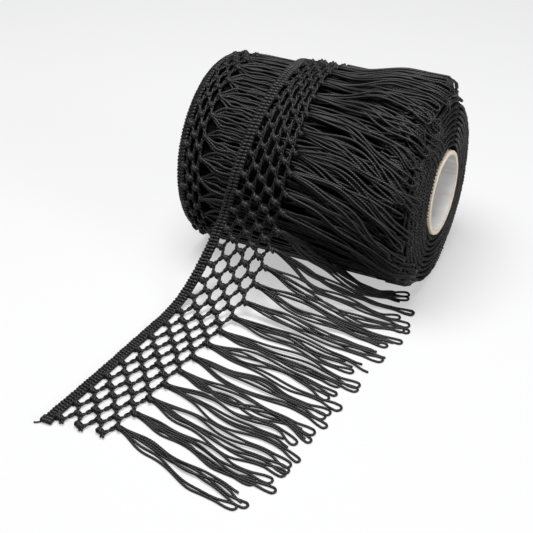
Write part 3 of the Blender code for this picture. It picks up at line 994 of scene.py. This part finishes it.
def wound_loop(cords, rng, turn, combed, neck, goal, rise):
    """A loop of strand that lies on the roll: it leaves its knot, droops and ends in a round."""
    steps = Wound.steps
    reach = combed.reach * rng.uniform(*Wound.reach)
    start_lean = rng.uniform(*Wound.start_lean) * combed.droop
    end_lean = rng.uniform(*Wound.end_lean) * combed.droop
    phase, beat = rng.random(), rng.uniform(*Wound.beat)
    sway = math.radians(rng.uniform(*Wound.sway) * combed.sway)
    edge = rng.uniform(*Wound.edge)
    middle = combed.radius + rise
    track = [(combed.root_x, math.radians(turn) * middle + neck)]
    sideways = (goal - neck) / (reach * combed.opens)
    for step in range(steps + 2):
        t = step / steps
        x, s = track[-1]
        pull = math.cos(s / middle) if s > -math.pi / 2 * middle else 0.0
        lean = -math.radians(blend(start_lean, end_lean, ease(t, Wound.lean_span))) * pull
        lean += sway * math.sin(math.tau * (beat * t + phase)) * ease(t, Wound.sway_span)
        lean += sideways * (1.0 - ease(t / combed.opens, Wound.open_span))
        track.append((x + math.cos(lean) * reach / steps, s + math.sin(lean) * reach / steps))
    tip_width = rng.uniform(*Wound.tip_width)
    parted = [rng.uniform(*Wound.parted) for _ in range(2)]
    beats = [rng.random() for _ in range(2)]

    def centre(t):
        scaled = min(max(t, 0.0) * steps, steps + Wound.past_last_step)
        index = int(scaled)
        (x, s), (x_next, s_next) = track[index], track[index + 1]
        return blend(x, x_next, scaled - index), blend(s, s_next, scaled - index)

    def width(t, side):
        leg = 0 if side < 0 else 1
        ripple = Wound.ripple * math.sin(math.tau * (Wound.ripple_beat * t + beats[leg]))
        ripple *= ease(t, Wound.ripple_span) * (1.0 - ease(t, Wound.calm_span))
        mid = blend(Wound.neck_half, parted[leg], ease(t, Wound.parting_span)) + ripple
        return blend(mid, tip_width, ease(t, Wound.tip_span))

    def height(t, side):
        return Wound.side_lift * side + rise * blend(1.0, Wound.tip_rise, t)

    def place(x, s, lift):
        at_turn = math.degrees(s / middle)
        hidden = ease(at_turn, Wound.back_span) + ease(-at_turn, Wound.below_span)
        limit = blend(edge, Wound.hidden_edge, min(hidden, 1.0))
        past_rim = max(x - Wound.rim_x, 0.0)
        proud = Wound.proud * ease(at_turn, Wound.proud_span) * ease(-at_turn, Wound.proud_end_span)
        proud *= ease(x, Wound.proud_across)
        around = combed.radius + lift + proud - Wound.rim_fall * past_rim
        return on_roll(at_turn, min(x, limit + Wound.past_edge * (x - limit)), around, STRAND)

    loop_routes(cords, place, centre, width, height, STRAND, steps, rng.random() < Wound.cut_chance)


def wound_tassel(cords, rng, turn, combed, own):
    """Loops of one tassel, which fan out from its knot."""
    for loop in range(LOOPS):
        rise = rng.choice(own.rises_mm) * MM
        from_middle = loop - (LOOPS - 1) / 2
        goal = from_middle * own.fan_step + either_way(rng, own.astray)
        wound_loop(cords, rng, turn, combed, from_middle * own.neck_step, goal, rise)


def last_fringe(rng, yarn):
    """Looped tassels of the last turn, which sweep over the roll's right half."""
    cords = Cords("turn_fringe")
    lay, own = LastTurn(), LastFringe
    for number in range(TURN_TASSELS + 1):
        along = lay.tassel_along(LOOSE_TASSELS + number)
        turn = lay.turn(along)
        root = lay.knots_x(along) + lay.knot_half
        reach = blend(*own.reach_mm, ease(turn, own.behind_span)) * MM
        combed = Combed(root, reach, ROLL_RADIUS + own.above, own.droop, own.sway, own.opens)
        wound_tassel(cords, rng, turn, combed, own)
    return cords.skin(yarn)


def earlier_fringe(rng, yarn):
    """Tassels of the turn below, which run to the right under the last turn."""
    cords = Cords("earlier_fringe")
    lay, above, own = EarlierTurn(), LastTurn(), EarlierFringe
    for number in range(lay.tassels):
        turn = lay.turn(lay.tassel_along(number))
        root = lay.knots_x(lay.tassel_along(number)) + lay.knot_half
        reach = own.reach
        if 0.0 < turn < FADE[0]:
            heading_x = above.heading_x(ROLL_START + TURN_MIDDLE_RADIUS * math.radians(turn))
            reach = heading_x + own.under_heading - root
        opens = own.open_length / reach
        combed = Combed(root, reach, lay.radius + own.above, own.droop, own.sway, opens)
        wound_tassel(cords, rng, turn, combed, own)
        radius = lay.radius + own.filler_above
        for loop in range(own.fillers):
            between = turn + 360.0 / lay.tassels * (loop + 1) / (own.fillers + 1)
            start = rng.uniform(*own.filler_start)
            combed = Combed(root + start, reach - start, radius, own.droop, own.sway, own.filler_opens)
            wound_loop(cords, rng, between, combed, 0.0, either_way(rng, own.filler_astray), 0.0)
    return cords.skin(yarn)


def bedding_fringe(rng, yarn):
    """Strands of still earlier turns, which fill the roll's right half below the last tassels."""
    cords = Cords("bedding_fringe")
    own = Bedding
    for number in range(own.strands):
        turn = -90.0 + 360.0 * (number + either_way(rng, own.spacing)) / own.strands
        root = rng.uniform(*own.strand_root)
        rise = rng.choice(own.strand_rises_mm) * MM
        reach = rng.uniform(*own.strand_reach)
        combed = Combed(root, reach, own.radius, own.strand_droop, own.strand_sway, own.opens)
        wound_loop(cords, rng, turn, combed, 0.0, either_way(rng, own.strand_astray), rise)
    first, span = own.rim_turns
    for number in range(own.rim_loops):
        turn = first + span * (number + either_way(rng, own.spacing)) / own.rim_loops
        rise = rng.choice(own.rim_rises_mm) * MM
        root = rng.uniform(*own.rim_root)
        reach = rng.uniform(*own.rim_reach)
        combed = Combed(root, reach, own.radius, own.rim_droop, own.rim_sway, own.opens)
        wound_loop(cords, rng, turn, combed, 0.0, either_way(rng, own.rim_astray), rise)
    return cords.skin(yarn)


# Wound body, its two faces and the cardboard core


def right_face_x(radius):
    part = max(radius - CORE_RADIUS, 0.0) / (RIM_RIGHT_RADIUS - CORE_RADIUS)
    return blend(ROLL_RIGHT + Face.right_proud, RIM_RIGHT_X + Face.right_rim_proud, part**Face.right_power)


def left_face_x(radius):
    part = (radius - CORE_RADIUS) / (RIM_LEFT_RADIUS - CORE_RADIUS)
    return ROLL_LEFT + Face.left_hollow * part**Face.left_power


def ring_of_rows(name, rings, materials, second_sides=()):
    """Closed smooth mesh round the axis from rings of places, with its faces outwards."""
    bm = bmesh.new()
    rings = [[bm.verts.new(place) for place in ring] for ring in rings]
    count = len(rings[0])
    for step, here in enumerate(rings):
        there = rings[(step + 1) % len(rings)]
        for side in range(count):
            ahead = (side + 1) % count
            face = bm.faces.new((here[side], here[ahead], there[ahead], there[side]))
            face.smooth = True
            face.material_index = 1 if side in second_sides else 0
    bmesh.ops.recalc_face_normals(bm, faces=bm.faces)
    mesh = bpy.data.meshes.new(name)
    bm.to_mesh(mesh)
    bm.free()
    for material in materials:
        mesh.materials.append(material)
    return show(name, mesh)


def body_outline():
    """Half section of the packing under the cords, dark with painted shade, as (x, radius) from left to
    right.
    """
    (left_top, left_inset), (right_top, right_inset) = BODY_LEFT, BODY_RIGHT
    shares = [step / BODY_FACE_STEPS for step in range(BODY_FACE_STEPS + 1)]
    left = [blend(CORE_RADIUS + GAP, left_top, share) for share in shares]
    right = [blend(CORE_RADIUS + GAP, right_top, share) for share in reversed(shares)]
    outline = [(left_face_x(radius) + left_inset, radius) for radius in left]
    outline += [(x * MM, radius * MM) for x, radius in BODY_OUTLINE_MM]
    outline += [(right_face_x(radius) - right_inset, radius) for radius in right]
    return outline


def wound_body(yarn):
    outline = body_outline()
    across_scale, round_scale = BODY_LUMP_SCALES
    rings = []
    for step in range(BODY_STEPS):
        turn = 360.0 * step / BODY_STEPS - 90.0
        angle = math.radians(turn)
        ring = []
        for x, radius in outline:
            spot = Vector((x * across_scale, math.cos(angle) * round_scale, math.sin(angle) * round_scale))
            ring.append(on_roll(turn, x, radius + BODY_LUMPS * noise.noise(spot), BODY_CLEAR))
        rings.append(ring)
    return ring_of_rows("wound_body", rings, [yarn])


def face_layers(winding, face_x, rng, yarn):
    """Edges of the wound turns: a spiral cord with a bead at each rung, and a thin one in its groove."""
    cords = Cords(winding.name)
    half_rung = PITCH / RUNGS_PER_PITCH / 2
    thick, thick_radii, thin = [], [], []
    angle, station = 0.0, 0
    while angle < 360.0 * winding.turns:
        turn = angle - 90.0
        radius = (winding.first_mm + winding.step_mm * angle / 360.0) * MM
        beaded = turn % 360.0 < winding.beads_end or turn % 360.0 > winding.beads_start
        wobble = noise.noise(Vector((angle * Face.wobble_scale, 2.0, 7.0)))
        bulge = noise.noise(Vector((angle * Face.bulge_scale, 4.0, 1.0)))
        swell = (Face.bead_mm if beaded else Face.plain_bead_mm) * (-1) ** station
        reach = radius + Face.wobble_mm * MM * wobble
        lift = (Face.bulge_mm * bulge + either_way(rng, Face.uneven_mm) + Face.bead_lift * swell) * MM
        thick.append(on_roll(turn, face_x(reach) + winding.outward * lift, reach, Face.clear))
        thick_radii.append((Face.cord_mm + swell) * MM)
        groove = reach + Face.groove_out
        groove_x = face_x(groove) - winding.outward * Face.groove_depth
        thin.append(on_roll(turn, groove_x, groove, Face.clear))
        angle += math.degrees(half_rung / radius)
        station += 1
    cords.lay(thick, thick_radii)
    cords.lay(thin, Face.groove_cord)
    return cords.skin(yarn)


def cardboard_core(edge, paper):
    """Tube with a ragged cut edge: board at its ends and outside, paper in its bore."""
    right = [(radius, CORE_HALF + past, ragged) for radius, past, ragged in CORE_END_ROWS]
    left = [(radius, -CORE_HALF - past, ragged) for radius, past, ragged in reversed(CORE_END_ROWS)]
    bore = [(CORE_BORE_RADIUS, x * MM, 0) for x in CORE_BORE_ROWS_MM]
    rings = []
    for step in range(CORE_STEPS):
        angle = math.tau * step / CORE_STEPS
        flat, rise = math.cos(angle), math.sin(angle)
        ring = []
        for radius, x, ragged in [left[-1], *right, *bore, *left[:-1]]:
            tear = noise.noise(Vector((flat * TEAR_SCALE, rise * TEAR_SCALE, x * RAGGED_SCALE)))
            fray = noise.noise(Vector((flat * FRAY_SCALE, rise * FRAY_SCALE, x * RAGGED_SCALE)))
            end = (TEAR * tear + FRAY * fray) * ragged
            r = radius + FRAY * fray * ragged
            ring.append(Vector((x + end, -r * flat, AXIS_HEIGHT + r * rise)))
        rings.append(ring)
    return ring_of_rows("cardboard_core", rings, [edge, paper], CORE_PAPER_SIDES)


# Materials


def new_material(name):
    material = bpy.data.materials.new(name)
    material.use_nodes = True
    return material, material.node_tree, material.node_tree.nodes["Principled BSDF"]


def shade_ramp(tree, stops):
    ramp = add_node(tree, "ShaderNodeValToRGB")
    elements = ramp.color_ramp.elements
    for element, (place, colour) in zip(elements, (stops[0], stops[-1])):
        element.position = place
        element.color = (*colour, 1.0)
    for place, colour in stops[1:-1]:
        element = elements.new(place)
        element.color = (*colour, 1.0)
    return ramp


def grain(tree, scale, detail, roughness):
    values = {"Scale": scale, "Detail": detail, "Roughness": roughness}
    return add_node(tree, "ShaderNodeTexNoise", values)


def colour_and_relief(tree, shader, shade, stops, relief, strength, depth):
    """Colours the surface by one node's output, and raises it by another's."""
    ramp = shade_ramp(tree, stops)
    bump = add_node(tree, "ShaderNodeBump", {"Strength": strength, "Distance": depth})
    wire(
        tree,
        (*shade, ramp, "Fac"),
        (ramp, "Color", shader, "Base Color"),
        (*relief, bump, "Height"),
        (bump, "Normal", shader, "Normal"),
    )


def twisted_yarn():
    """Black two-ply yarn: the plies show as slanting ridges, with fine fuzz over them. Its colour follows
    the same relief, lighter on the ridges and darker in the grooves: painted highlight and painted shade.
    """
    material, tree, shader = new_material("twisted_black_yarn")
    place = add_node(tree, "ShaderNodeUVMap", uv_map="UVMap")
    parts = add_node(tree, "ShaderNodeSeparateXYZ")
    lean = add_node(tree, "ShaderNodeMath", operation="ADD")
    half_turns = add_node(tree, "ShaderNodeMath", {1: math.tau}, operation="MULTIPLY")
    wave = add_node(tree, "ShaderNodeMath", operation="SINE")
    ridge = add_node(tree, "ShaderNodeMath", operation="ABSOLUTE")
    spot = add_node(tree, "ShaderNodeTexCoord")
    fuzz = grain(tree, 3800.0, 2.0, 0.6)
    patch = grain(tree, 160.0, 2.0, 0.5)
    relief = add_node(tree, "ShaderNodeMath", {1: 0.35}, operation="MULTIPLY_ADD")
    # The ply relief also sets the colour: painted highlight on the ridges, painted shade in the grooves.
    relief_highlight_and_shade = add_node(tree, "ShaderNodeMath", {1: 0.6, 2: -0.02}, operation="MULTIPLY_ADD")
    worn = add_node(tree, "ShaderNodeMath", {1: 0.5}, operation="MULTIPLY")
    mixed = add_node(tree, "ShaderNodeMath", operation="ADD")
    wire(
        tree,
        (place, "UV", parts, 0),
        (parts, "X", lean, 0),
        (parts, "Y", lean, 1),
        (lean, 0, half_turns, 0),
        (half_turns, 0, wave, 0),
        (wave, 0, ridge, 0),
        (spot, "Object", fuzz, "Vector"),
        (spot, "Object", patch, "Vector"),
        (fuzz, "Fac", relief, 0),
        (ridge, 0, relief, 2),
        (relief, 0, relief_highlight_and_shade, 0),
        (patch, "Fac", worn, 0),
        (relief_highlight_and_shade, 0, mixed, 0),
        (worn, 0, mixed, 1),
    )
    # Ramp from the grooves' painted shade to the ridges' painted highlight, shifted by random patches.
    stops = (
        (0.0, (0.0003, 0.0003, 0.0003)),
        (0.5, (0.0020, 0.0020, 0.0021)),
        (1.0, (0.0125, 0.0125, 0.0130)),
    )
    colour_and_relief(tree, shader, (mixed, 0), stops, (relief, 0), 0.65, 0.16 * MM)
    set_inputs(shader, {"Roughness": 0.40, "Specular IOR Level": 0.17})
    set_inputs(shader, {"Sheen Weight": 0.02, "Sheen Roughness": 0.5, "Sheen Tint": (0.6, 0.6, 0.62, 1.0)})
    return material


def packed_yarn_painted_shade():
    """Mass of the turns below, where cords only show as faint lines, coloured much darker than the yarn
    itself: painted shade of the depth under the top cords.
    """
    material, tree, shader = new_material("packed_black_yarn")
    spot = add_node(tree, "ShaderNodeTexCoord")
    stretch = add_node(tree, "ShaderNodeMapping", {"Scale": (60.0, 700.0, 700.0)})
    lines = grain(tree, 1.0, 3.0, 0.55)
    wire(tree, (spot, "Object", stretch, "Vector"), (stretch, "Vector", lines, "Vector"))
    # Stops far below the yarn's own colour: painted shade of the packed turns.
    stops = ((0.3, (0.0003, 0.0003, 0.0003)), (0.75, (0.0030, 0.0030, 0.0032)))
    colour_and_relief(tree, shader, (lines, "Fac"), stops, (lines, "Fac"), 0.9, 0.6 * MM)
    set_inputs(shader, {"Roughness": 0.85, "Specular IOR Level": 0.03})
    return material


def board_edge():
    """Raw cardboard: tan plies in rings round the axis, with flecks."""
    material, tree, shader = new_material("cardboard_edge")
    spot = add_node(tree, "ShaderNodeTexCoord")
    to_axis = {"Location": (0.0, 0.0, -AXIS_HEIGHT), "Scale": (0.0, 1.0, 1.0)}
    centre = add_node(tree, "ShaderNodeMapping", to_axis)
    radius = add_node(tree, "ShaderNodeVectorMath", operation="LENGTH")
    plies = add_node(tree, "ShaderNodeMath", {1: math.tau / (0.55 * MM)}, operation="MULTIPLY")
    wave = add_node(tree, "ShaderNodeMath", operation="SINE")
    fibre = grain(tree, 1400.0, 4.0, 0.65)
    mixed = add_node(tree, "ShaderNodeMath", {1: 0.1}, operation="MULTIPLY_ADD")
    wire(
        tree,
        (spot, "Object", centre, "Vector"),
        (centre, "Vector", radius, 0),
        (radius, "Value", plies, 0),
        (plies, 0, wave, 0),
        (spot, "Object", fibre, "Vector"),
        (wave, 0, mixed, 0),
        (fibre, "Fac", mixed, 2),
    )
    stops = ((0.25, (0.34, 0.28, 0.21)), (0.5, (0.49, 0.42, 0.33)), (0.8, (0.60, 0.53, 0.44)))
    colour_and_relief(tree, shader, (mixed, 0), stops, (mixed, 0), 0.5, 0.15 * MM)
    set_inputs(shader, {"Roughness": 0.88})
    return material


def bore_paper():
    """Pale paper lining of the bore, with faint tan streaks along it."""
    material, tree, shader = new_material("bore_paper")
    spot = add_node(tree, "ShaderNodeTexCoord")
    along_bore = {"Scale": (28.0, 190.0, 190.0), "Rotation": (0.0, 0.0, 0.3)}
    stretch = add_node(tree, "ShaderNodeMapping", along_bore)
    streak = grain(tree, 1.0, 5.0, 0.6)
    fibre = grain(tree, 2200.0, 3.0, 0.6)
    wire(
        tree,
        (spot, "Object", stretch, "Vector"),
        (stretch, "Vector", streak, "Vector"),
        (spot, "Object", fibre, "Vector"),
    )
    stops = ((0.3, (0.40, 0.38, 0.35)), (0.5, (0.52, 0.515, 0.51)), (0.75, (0.64, 0.64, 0.64)))
    colour_and_relief(tree, shader, (streak, "Fac"), stops, (fibre, "Fac"), 0.3, 0.05 * MM)
    set_inputs(shader, {"Roughness": 0.75})
    return material


def floor_paint():
    material, tree, shader = new_material("studio_floor")
    set_inputs(shader, {"Base Color": (0.17, 0.17, 0.172, 1.0), "Roughness": 0.8, "Specular IOR Level": 0.1})
    set_inputs(shader, {"Emission Color": (1.0, 1.0, 1.0, 1.0), "Emission Strength": 0.48})
    return material


# Studio


def place_camera():
    turn, rise = math.radians(CAMERA_TURN), math.radians(CAMERA_RISE)
    back = Vector((math.sin(turn) * math.cos(rise), -math.cos(turn) * math.cos(rise), math.sin(rise)))
    data = bpy.data.cameras.new("camera")
    data.sensor_width = SENSOR_WIDTH
    data.lens = FOCAL_PIXELS / PICTURE_WIDTH * data.sensor_width
    camera = show("camera", data)
    camera.location = CAMERA_TARGET + back * CAMERA_DISTANCE
    camera.rotation_mode = "QUATERNION"
    camera.rotation_quaternion = (-back).to_track_quat("-Z", "Y")
    bpy.context.scene.camera = camera


def place_light(lamp):
    data = bpy.data.lights.new(lamp.name, "AREA")
    data.shape = "DISK"
    data.size = lamp.size
    data.energy = lamp.watts
    light = show(lamp.name, data)
    light.location = lamp.place
    light.rotation_mode = "QUATERNION"
    light.rotation_quaternion = (lamp.aim - lamp.place).to_track_quat("-Z", "Y")


def make_studio():
    mesh = bpy.data.meshes.new("floor")
    corners = [(x * FLOOR_HALF, y * FLOOR_HALF, 0.0) for x, y in ((-1, -1), (1, -1), (1, 1), (-1, 1))]
    mesh.from_pydata(corners, [], [(0, 1, 2, 3)])
    mesh.materials.append(floor_paint())
    show("floor", mesh)
    world = bpy.data.worlds.new("studio")
    world.use_nodes = True
    background = {"Color": (1.0, 1.0, 1.0, 1.0), "Strength": WORLD_STRENGTH}
    set_inputs(world.node_tree.nodes["Background"], background)
    bpy.context.scene.world = world
    for lamp in LAMPS:
        place_light(lamp)
    bpy.context.scene.view_settings.view_transform = "Standard"


def main():
    rng = random.Random(SEED)
    place_camera()
    make_studio()
    yarn = twisted_yarn()
    packing_in_painted_shade = packed_yarn_painted_shade()
    TREES["cord"] = cord_tree()
    TREES["knot"] = knot_tree()
    pattern = make_knot_pattern(yarn)

    last, earlier = LastTurn(), EarlierTurn()
    places = net_places(last, LOOSE_TASSELS + TURN_TASSELS + 1, rng)
    loose_heading = make_heading("loose_heading", last, 0.0, ROLL_START, rng, yarn, cut=True)
    loose_net = make_net("loose_net", last, places, 0.0, ROLL_START, pattern, rng, yarn)
    turn_heading = make_heading("turn_heading", last, ROLL_START, last.end, rng, yarn)
    turn_net = make_net("turn_net", last, places, ROLL_START, last.end, pattern, rng, yarn)
    earlier_heading = make_heading("earlier_heading", earlier, 0.0, earlier.end, rng, yarn)
    earlier_places = net_places(earlier, earlier.tassels, rng)
    earlier_net = make_net("earlier_net", earlier, earlier_places, 0.0, earlier.end, pattern, rng, yarn)

    tassels = [loose_tassel(number, rng, yarn) for number in range(LOOSE_TASSELS)]
    turn_fringe = last_fringe(rng, yarn)
    left_fringe = earlier_fringe(rng, yarn)
    bedding = bedding_fringe(rng, yarn)
    # The body carries the darker packed material: painted shade under the cords.
    body = wound_body(packing_in_painted_shade)
    right_face = face_layers(RIGHT_WINDING, right_face_x, rng, yarn)
    left_face = face_layers(LEFT_WINDING, left_face_x, rng, yarn)
    core = cardboard_core(board_edge(), bore_paper())
    bpy.data.objects.remove(pattern, do_unlink=True)

    pieces = [loose_heading, loose_net, turn_heading, turn_net, earlier_heading, earlier_net]
    pieces += [turn_fringe, left_fringe, bedding, body, right_face, left_face]
    for piece in pieces + tassels:
        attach(piece, "root")
    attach(core, "root")
    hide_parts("core")
    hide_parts("roll")
    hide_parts("fringe_turn")
    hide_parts("heading_loose")
    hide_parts("net_loose")
    for number, tassel in enumerate(tassels):
        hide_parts(f"tassel_{number + 1:02d}")


main()
